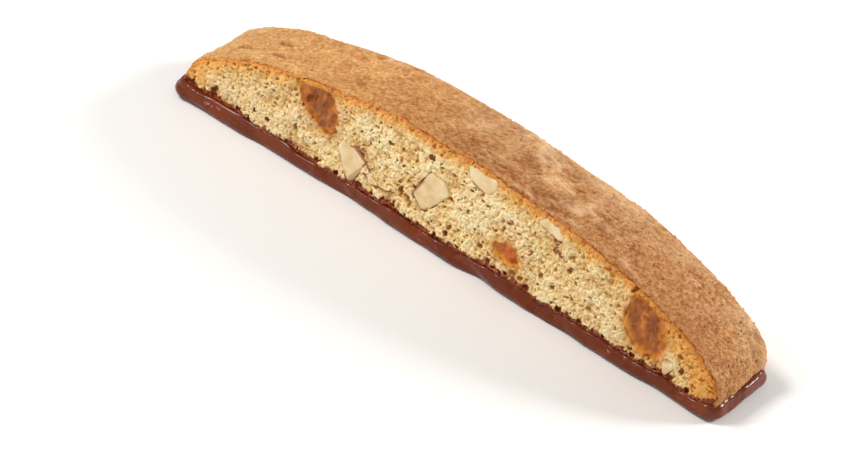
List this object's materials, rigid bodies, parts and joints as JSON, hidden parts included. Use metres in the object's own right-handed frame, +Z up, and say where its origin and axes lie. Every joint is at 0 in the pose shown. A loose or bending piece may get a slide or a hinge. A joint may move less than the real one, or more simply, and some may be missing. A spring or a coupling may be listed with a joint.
{
  "type": "biscotti",
  "caption": "Long arched slice of twice-baked biscotti with chopped almonds and soft caramel in its pale cut faces, standing on a chocolate-dipped base.",
  "frame": {"origin": "middle of the flat chocolate base, which rests on z = 0", "axes": "+X along the slice's length, +Y through its thickness from the front cut face to the back one, +Z up to the crust"},
  "size_m": [0.135, 0.0184, 0.0252],
  "materials": {
    "baked_dough": "dry open crumb, pale cream inside, toasted tan crust",
    "milk_chocolate": "set milk chocolate, satin",
    "almond": "smooth cut almond with a thin brown skin",
    "caramel": "soft glossy amber caramel"
  },
  "bodies": {
    "root": {"biscuit": "baked_dough", "chocolate_base": "milk_chocolate", "almond_front_kite": "almond", "almond_front_large": "almond", "almond_front_edge": "almond", "almond_front_half": "almond", "almond_front_low": "almond", "almond_back_left": "almond", "almond_back_high": "almond", "almond_back_large": "almond", "almond_back_right": "almond", "caramel_front_left": "caramel", "caramel_front_small": "caramel", "caramel_front_right": "caramel", "caramel_back_left": "caramel", "caramel_back_middle": "caramel", "caramel_back_right": "caramel"}
  },
  "joints": []
}
